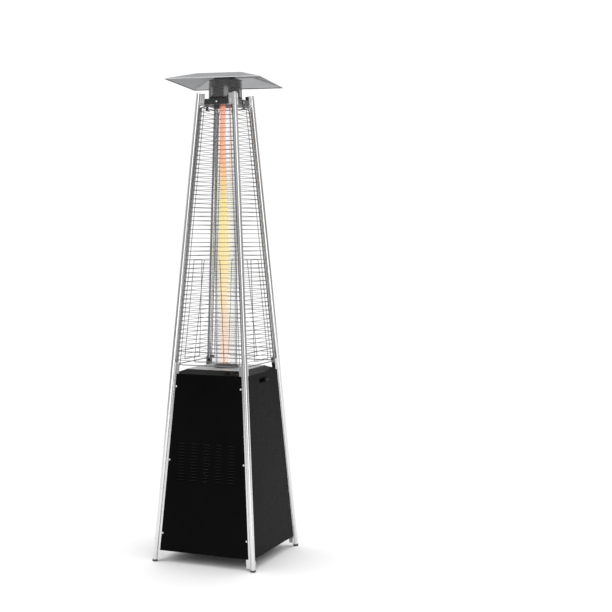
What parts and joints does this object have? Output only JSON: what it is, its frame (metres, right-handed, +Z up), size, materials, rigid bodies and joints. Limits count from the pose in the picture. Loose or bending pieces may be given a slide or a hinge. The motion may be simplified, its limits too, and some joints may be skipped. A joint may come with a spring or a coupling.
{
  "type": "patio heater",
  "caption": "Tall four-sided gas patio heater: black cabinet with a drop-down door, glass flame tube behind wire guards, drum head and square reflector.",
  "frame": {"origin": "on the floor, under the middle of the four feet", "axes": "+Z up; -Y towards the vented panel, +X towards the hinged door, +Y towards the gas controls"},
  "size_m": [0.523, 0.523, 2.2527],
  "materials": {
    "leg_steel": "bright, drawn along the tube",
    "zinc": "bright zinc plate",
    "plate_steel": "satin",
    "black_paint": "semi-gloss powder coat",
    "gloss_black": "gloss stove enamel",
    "foot_rubber": "matt",
    "latch_plastic": "fine grain",
    "grip_plastic": "fine grain",
    "knob_plastic": "fine grain",
    "brass": "machined",
    "pipe_alloy": "drawn copper tube",
    "couple_metal": "copper sheath",
    "switch_plastic": "moulded",
    "button_plastic": "moulded, red",
    "lead_rubber": "silicone sleeve",
    "burner_iron": "heat-browned",
    "ceramic": "glazed ceramic",
    "glass": "clear borosilicate",
    "fibre": "woven ceramic fibre",
    "guard_steel": "dull bright wire",
    "roof_aluminium": "mill finish"
  },
  "bodies": {
    "heater": {"leg_front": "leg_steel", "leg_right": "leg_steel", "leg_back": "leg_steel", "leg_left": "leg_steel", "foot_caps": "foot_rubber", "front_panel": "black_paint", "left_panel": "black_paint", "back_panel": "black_paint", "panel_screws": "zinc", "base_shelf": "black_paint", "shelf_brackets": "zinc", "bottle_ring": "black_paint", "shoulder": "black_paint", "shoulder_skirt": "black_paint", "top_plate": "plate_steel", "hinge_brackets": "zinc", "control_plate": "plate_steel", "gas_valve": "brass", "gas_inlet": "brass", "supply_pipe": "pipe_alloy", "pilot_pipe": "pipe_alloy", "igniter_body": "switch_plastic", "igniter_nut": "zinc", "igniter_lead": "lead_rubber", "burner_cup": "plate_steel", "burner_head": "burner_iron", "mixer_tube": "plate_steel", "gas_jet": "brass", "pilot_burner": "plate_steel", "thermocouple": "couple_metal", "igniter_electrode": "ceramic", "tilt_switch": "switch_plastic", "glass_seat": "gloss_black", "glass_tube": "glass", "glass_gasket": "fibre", "top_frame": "black_paint", "frame_bolts": "zinc", "head_ring": "black_paint", "head_drum": "gloss_black", "head_lid": "gloss_black", "reflector": "roof_aluminium", "reflector_studs": "zinc", "reflector_nuts": "zinc", "guard_front": "guard_steel", "guard_right": "guard_steel", "guard_back": "guard_steel", "guard_left": "guard_steel", "guard_hooks": "gloss_black", "guard_screws": "zinc"},
    "door": {"door_panel": "black_paint", "hinge_leaves": "zinc", "hinge_pins": "zinc", "latch_plate": "latch_plastic"},
    "latch": {"latch_knob": "grip_plastic", "latch_cam": "zinc"},
    "stem_slide": {"stem_collar": "zinc"},
    "knob": {"control_knob": "knob_plastic", "valve_stem": "brass"},
    "igniter": {"igniter_button": "button_plastic"}
  },
  "joints": [
    {"name": "door_hinge", "type": "hinge", "parent": "heater", "child": "door", "pos_m": [0.23256, 0, 0.0601], "axis": [0, 1, 0], "range_deg": [0, 90]},
    {"name": "latch_turn", "type": "hinge", "parent": "door", "child": "latch", "pos_m": [0.18796, 0.0205, 0.833], "axis": [0.9973, 0, 0.0731], "range_deg": [0, 90]},
    {"name": "knob_push", "type": "slide", "parent": "heater", "child": "stem_slide", "axis": [0, -0.9973, -0.0731], "range_m": [0, 0.004], "stiffness_N_per_m": 800},
    {"name": "knob_turn", "type": "hinge", "parent": "stem_slide", "child": "knob", "pos_m": [0, 0.19184, 0.78], "axis": [0, 0.9973, 0.0731], "range_deg": [0, 180]},
    {"name": "igniter_push", "type": "slide", "parent": "heater", "child": "igniter", "axis": [0, -0.9973, -0.0731], "range_m": [0, 0.006], "stiffness_N_per_m": 600}
  ]
}
